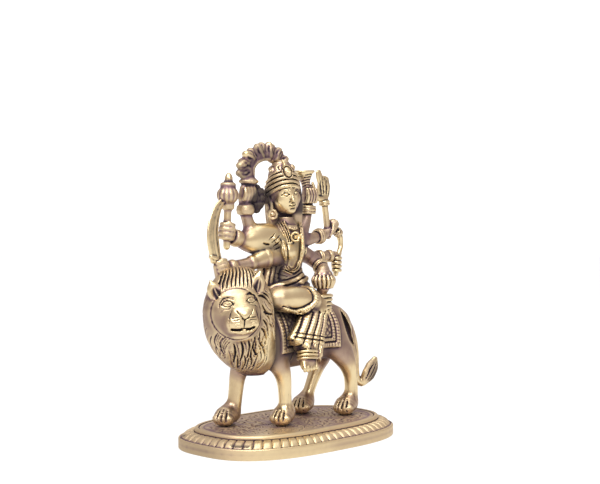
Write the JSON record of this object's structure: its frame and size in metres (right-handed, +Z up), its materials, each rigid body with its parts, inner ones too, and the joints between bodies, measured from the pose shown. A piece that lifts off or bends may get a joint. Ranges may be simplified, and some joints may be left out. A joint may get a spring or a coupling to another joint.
{
  "type": "durga on lion figure",
  "caption": "Cast brass figure of a many-armed goddess seated sideways on a walking lion, holding mace, sword, trident and bow, on a hollow oval lotus-petal plinth.",
  "frame": {"origin": "on the ground, under the middle of the oval plinth", "axes": "+Z up; the lion walks towards -X; the goddess faces -Y; +X runs to the lion's tail"},
  "size_m": [0.13, 0.082, 0.165],
  "materials": {
    "figure_brass": "aged cast brass, polished highs over dark patina in the recesses",
    "plinth_brass": "aged cast brass, satin, dark patina in the recesses"
  },
  "bodies": {
    "root": {"durga_on_lion": "figure_brass", "plinth": "plinth_brass"}
  },
  "joints": []
}
